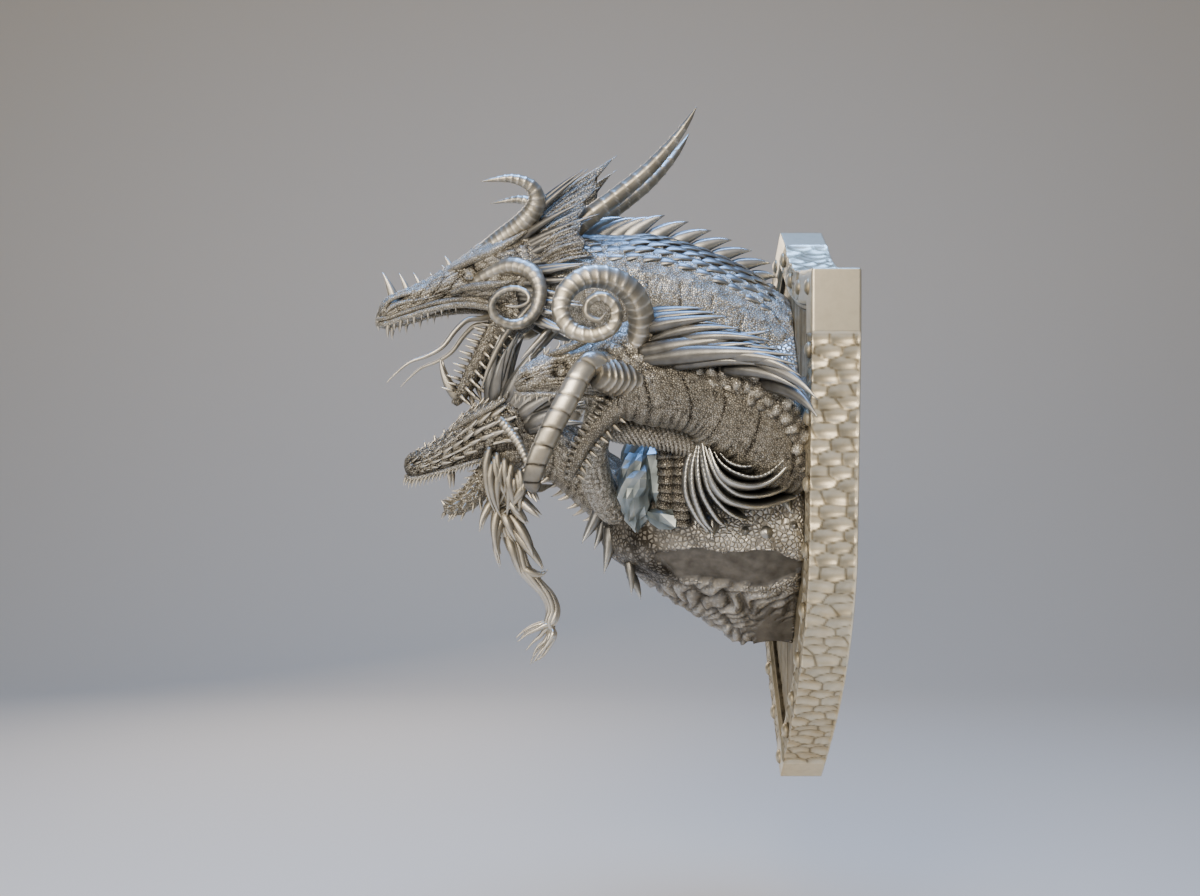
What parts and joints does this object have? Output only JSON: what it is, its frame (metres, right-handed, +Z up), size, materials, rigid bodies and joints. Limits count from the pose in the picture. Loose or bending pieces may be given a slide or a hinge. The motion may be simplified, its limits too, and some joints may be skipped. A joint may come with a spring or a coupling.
{
  "type": "dragon trophy bust",
  "caption": "Cast dragon bust with horned heads, manes and whiskers, fixed to a shield-shaped wall plaque with a hammered, studded rim.",
  "frame": {"origin": "centre of the plaque's flat back, halfway up the shield", "axes": "+Z up, -Y out from the wall the way the dragon looks, +X along the plaque's width"},
  "size_m": [0.3942, 0.3684, 0.5455],
  "materials": {
    "bust_metal": "sand-cast and antiqued: dark patina in the hollows, rubbed bright on the edges, satin",
    "plaque_metal": "sand-cast and antiqued, hammered edge, warmer and darker than the dragon, satin"
  },
  "bodies": {
    "root": {"dragon_bust": "bust_metal", "shield_plaque": "plaque_metal"}
  },
  "joints": []
}
